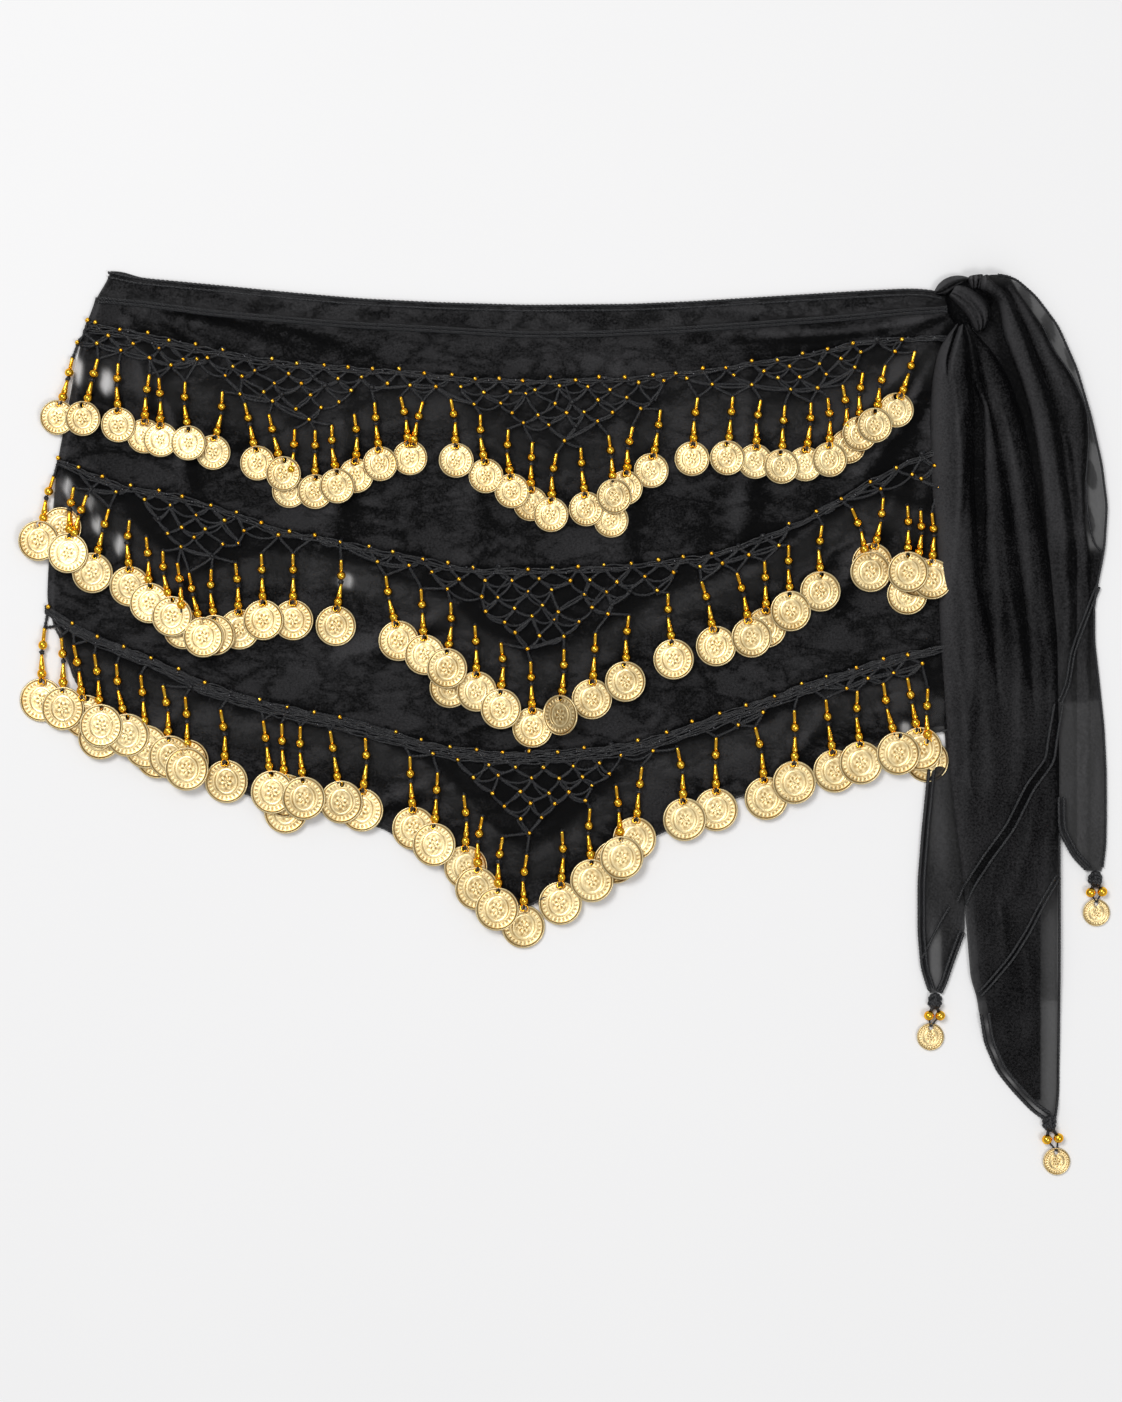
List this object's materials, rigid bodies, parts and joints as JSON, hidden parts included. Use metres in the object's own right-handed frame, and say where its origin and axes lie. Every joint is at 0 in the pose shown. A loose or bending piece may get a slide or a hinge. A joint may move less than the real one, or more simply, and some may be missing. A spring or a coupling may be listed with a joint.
{
  "type": "belly dance hip scarf",
  "caption": "Sheer black hip scarf knotted into a loop and laid flat, with scalloped beaded nets and fringes of gold coins over the front and pleated ends falling from the knot.",
  "frame": {"origin": "on the surface the scarf lies on, under the middle of its bounding box", "axes": "+X along the waist edge towards the knot, +Y across the scarf up to the waist edge, +Z off the surface through both layers"},
  "size_m": [0.5892, 0.4886, 0.0136],
  "materials": {
    "black_chiffon": "sheer matt plain weave with a faint sheen",
    "black_cord": "matt crocheted cord and rolled hems",
    "coin_gold": "pale polished gold plate, stamped",
    "bead_gold": "glossy warm gold beads"
  },
  "bodies": {
    "root": {"back_panel": "black_chiffon", "back_waist_hem": "black_cord", "fringe_1": "coin_gold", "fringe_2": "coin_gold", "fringe_3": "coin_gold", "front_panel": "black_chiffon", "front_waist_hem": "black_cord", "header_1": "black_cord", "header_2": "black_cord", "header_3": "black_cord", "knot_gather": "black_chiffon", "knot_heart": "black_chiffon", "knot_loop": "black_chiffon", "knot_pleat": "black_chiffon", "knot_wrap": "black_chiffon", "lower_hem": "black_cord", "net_1": "black_cord", "net_2": "black_cord", "net_3": "black_cord", "side_fold": "black_chiffon", "tail_a": "black_chiffon", "tail_a_band_lower": "black_cord", "tail_a_band_upper": "black_cord", "tail_a_bead_left": "bead_gold", "tail_a_bead_right": "bead_gold", "tail_a_coin": "coin_gold", "tail_a_knot": "black_cord", "tail_b": "black_chiffon", "tail_b_bead_left": "bead_gold", "tail_b_bead_right": "bead_gold", "tail_b_coin": "coin_gold", "tail_b_knot": "black_cord", "tail_c": "black_chiffon", "tail_c_bead_left": "bead_gold", "tail_c_bead_right": "bead_gold", "tail_c_coin": "coin_gold", "tail_c_knot": "black_cord", "tail_core": "black_chiffon"}
  },
  "joints": []
}
